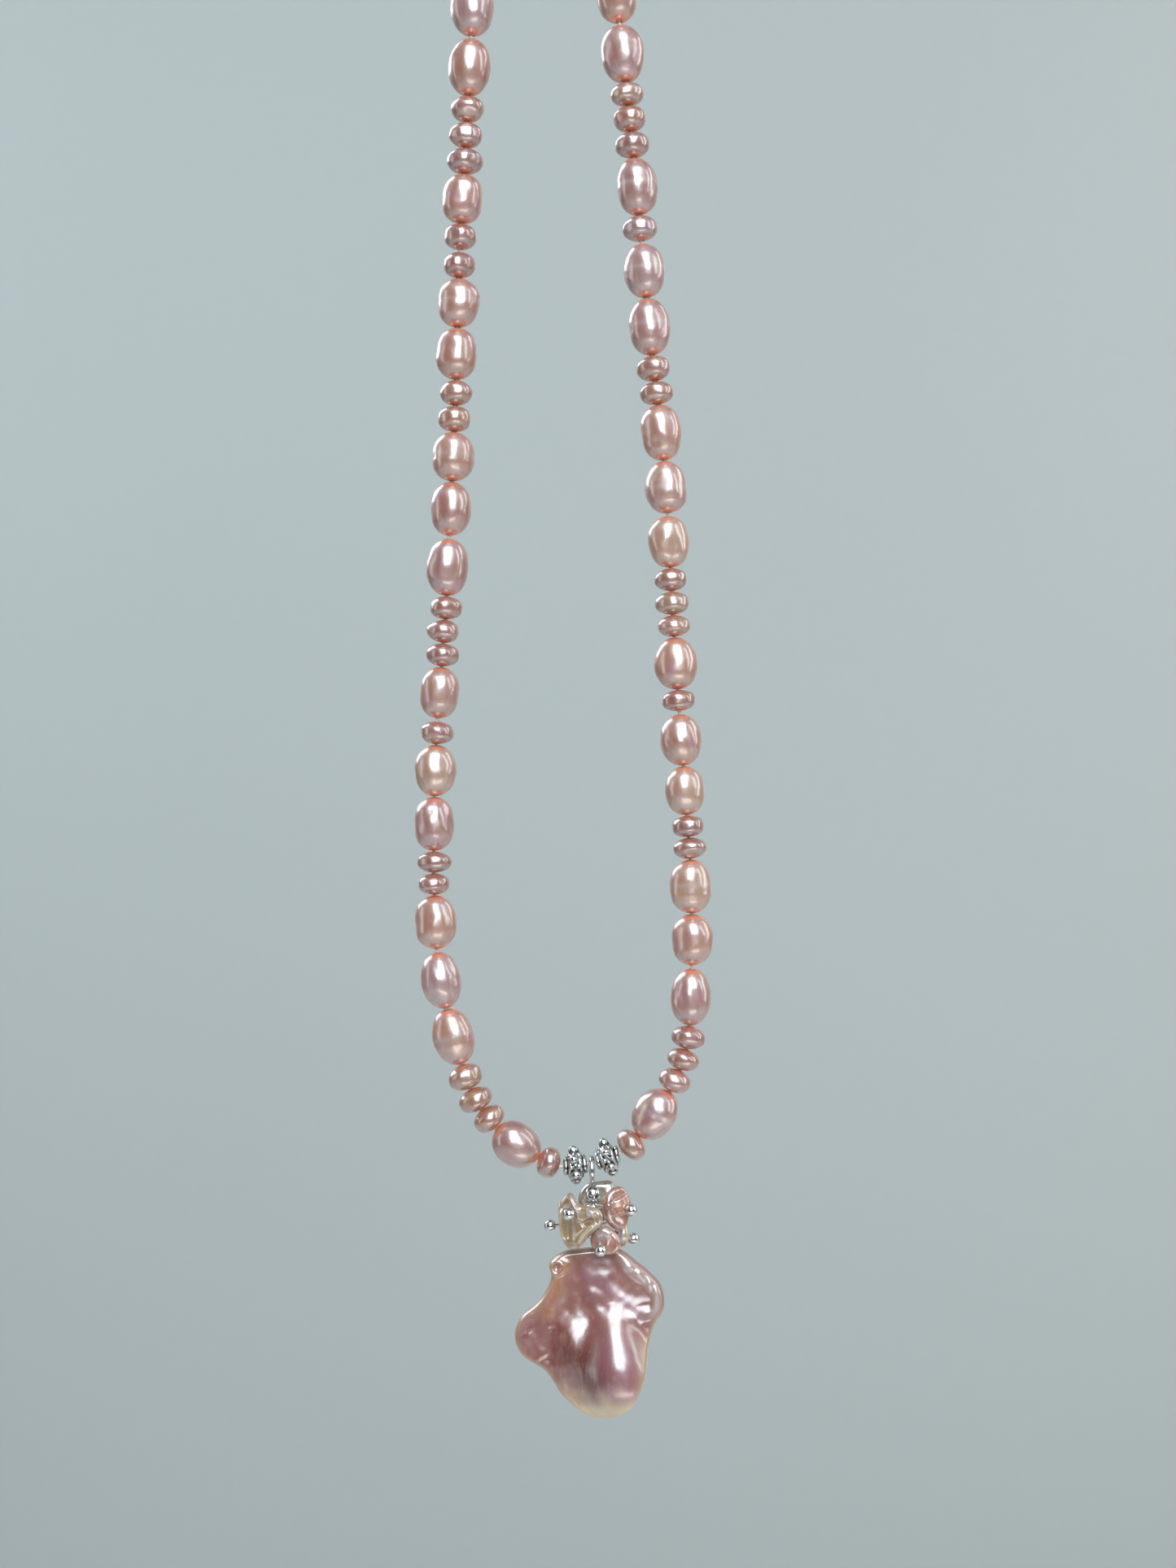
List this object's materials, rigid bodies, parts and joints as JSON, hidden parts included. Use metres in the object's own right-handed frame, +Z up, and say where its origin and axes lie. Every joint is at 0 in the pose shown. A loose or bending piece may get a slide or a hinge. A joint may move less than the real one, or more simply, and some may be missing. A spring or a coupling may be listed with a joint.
{
  "type": "pearl necklace",
  "caption": "Strung necklace of oval and button pearls hanging from its clasp, with silver spacers, a petal pearl cluster and a baroque pearl drop.",
  "frame": {"origin": "the point of the closed clasp's underside that rests on a peg", "axes": "+Z up along the hanging strands, +X to the right seen from the front, +Y to the back"},
  "size_m": [0.0367, 0.0111, 0.2406],
  "materials": {
    "rice_pearl": "pink freshwater nacre with a satin lustre",
    "button_pearl": "deeper pink freshwater nacre with a satin lustre",
    "baroque_pearl": "rippled pink, lilac and cream nacre",
    "petal_pearl": "cream and pink nacre",
    "silver": "polished silver",
    "cast_silver": "cast silver, darker in its recesses",
    "thread": "pale beading thread"
  },
  "bodies": {
    "clasp": {"clasp_frame": "silver", "clasp_rivet": "silver", "clasp_spring": "silver"},
    "lever": {"clasp_lever": "silver"},
    "left_ring": {"left_jump_ring": "silver"},
    "right_ring": {"right_closed_ring": "silver"},
    "strand_1": {"rice_pearls_1": "rice_pearl", "button_pearls_1": "button_pearl", "thread_1": "thread", "left_wire_loop": "thread", "left_crimp_tube": "silver", "left_crimp_cover": "silver", "right_wire_loop": "thread", "right_crimp_tube": "silver", "right_crimp_cover": "silver"},
    "strand_2": {"rice_pearls_2": "rice_pearl", "button_pearls_2": "button_pearl", "thread_2": "thread"},
    "strand_3": {"rice_pearls_3": "rice_pearl", "button_pearls_3": "button_pearl", "thread_3": "thread"},
    "strand_4": {"rice_pearls_4": "rice_pearl", "button_pearls_4": "button_pearl", "thread_4": "thread"},
    "strand_5": {"rice_pearls_5": "rice_pearl", "button_pearls_5": "button_pearl", "thread_5": "thread"},
    "strand_6": {"rice_pearls_6": "rice_pearl", "button_pearls_6": "button_pearl", "thread_6": "thread"},
    "strand_7": {"rice_pearls_7": "rice_pearl", "button_pearls_7": "button_pearl", "thread_7": "thread"},
    "left_spacer": {"left_spacer": "cast_silver"},
    "right_spacer": {"right_spacer": "cast_silver"},
    "pendant": {"pendant_pin": "silver", "ball_bead": "silver", "baroque_pearl": "baroque_pearl"},
    "left_petal": {"left_petal": "petal_pearl", "left_headpin": "silver"},
    "front_left_petal": {"front_left_petal": "petal_pearl", "front_left_headpin": "silver"},
    "right_upper_petal": {"right_upper_petal": "petal_pearl", "right_upper_headpin": "silver"},
    "right_lower_petal": {"right_lower_petal": "petal_pearl", "right_lower_headpin": "silver"},
    "lower_front_petal": {"lower_front_petal": "petal_pearl", "lower_front_headpin": "silver"},
    "back_petal": {"back_petal": "petal_pearl", "back_headpin": "silver"}
  },
  "joints": [
    {"name": "clasp_lever_pull", "type": "hinge", "parent": "clasp", "child": "lever", "pos_m": [-0.0004, 0, 0.001], "axis": [0, -1, 0], "range_deg": [0, 22], "stiffness_Nm_per_rad": 0.004, "springref_deg": -5.73},
    {"name": "left_ring_turn", "type": "hinge", "parent": "clasp", "child": "left_ring", "pos_m": [-0.0049, 0, -0.0011], "axis": [1, 0, 0], "continuous": true},
    {"name": "right_ring_turn", "type": "hinge", "parent": "clasp", "child": "right_ring", "pos_m": [0.0046, 0, -0.0011], "axis": [1, 0, 0], "continuous": true},
    {"name": "strand_swing", "type": "hinge", "parent": "clasp", "child": "strand_1", "pos_m": [0, 0, -0.0011], "axis": [1, 0, 0], "range_deg": [-60, 60]},
    {"name": "strand_fold_1", "type": "hinge", "parent": "strand_1", "child": "strand_2", "pos_m": [-0.00789, 0, -0.04054], "axis": [0.9902, 0, 0.1399], "range_deg": [-30, 30]},
    {"name": "strand_fold_2", "type": "hinge", "parent": "strand_2", "child": "strand_3", "pos_m": [-0.00999, 0, -0.06633], "axis": [0.9985, 0, 0.0543], "range_deg": [-30, 30]},
    {"name": "strand_fold_3", "type": "hinge", "parent": "strand_3", "child": "strand_4", "pos_m": [-0.01228, 0, -0.09251], "axis": [0.9999, 0, 0.0112], "range_deg": [-30, 30]},
    {"name": "strand_fold_4", "type": "hinge", "parent": "strand_4", "child": "strand_5", "pos_m": [-0.01483, 0, -0.1276], "axis": [0.9977, 0, 0.0676], "range_deg": [-30, 30]},
    {"name": "strand_fold_5", "type": "hinge", "parent": "strand_5", "child": "strand_6", "pos_m": [-0.01705, 0, -0.14996], "axis": [1, 0, -0.006], "range_deg": [-30, 30]},
    {"name": "strand_fold_6", "type": "hinge", "parent": "strand_6", "child": "strand_7", "pos_m": [-0.01811, 0, -0.17831], "axis": [0.9951, 0, -0.0986], "range_deg": [-30, 30]},
    {"name": "left_spacer_spin", "type": "hinge", "parent": "strand_7", "child": "left_spacer", "pos_m": [-0.00203, 0, -0.20526], "axis": [-0.9954, 0, -0.0955], "continuous": true},
    {"name": "right_spacer_spin", "type": "hinge", "parent": "strand_7", "child": "right_spacer", "pos_m": [0.00198, 0, -0.20446], "axis": [0.9572, 0, 0.2894], "continuous": true},
    {"name": "pendant_swing", "type": "hinge", "parent": "strand_7", "child": "pendant", "pos_m": [0, 0, -0.205], "axis": [1, 0, 0], "range_deg": [-85, 85]},
    {"name": "left_petal_turn", "type": "hinge", "parent": "pendant", "child": "left_petal", "pos_m": [0, 0, -0.205], "axis": [0, 0, 1], "range_deg": [-4, 4]},
    {"name": "front_left_petal_turn", "type": "hinge", "parent": "pendant", "child": "front_left_petal", "pos_m": [0, 0, -0.205], "axis": [0, 0, 1], "range_deg": [-4, 4]},
    {"name": "right_upper_petal_turn", "type": "hinge", "parent": "pendant", "child": "right_upper_petal", "pos_m": [0, 0, -0.205], "axis": [0, 0, 1], "range_deg": [-4, 4]},
    {"name": "right_lower_petal_turn", "type": "hinge", "parent": "pendant", "child": "right_lower_petal", "pos_m": [0, 0, -0.205], "axis": [0, 0, 1], "range_deg": [-4, 4]},
    {"name": "lower_front_petal_turn", "type": "hinge", "parent": "pendant", "child": "lower_front_petal", "pos_m": [0, 0, -0.205], "axis": [0, 0, 1], "range_deg": [-4, 4]},
    {"name": "back_petal_turn", "type": "hinge", "parent": "pendant", "child": "back_petal", "pos_m": [0, 0, -0.205], "axis": [0, 0, 1], "range_deg": [-4, 4]}
  ]
}
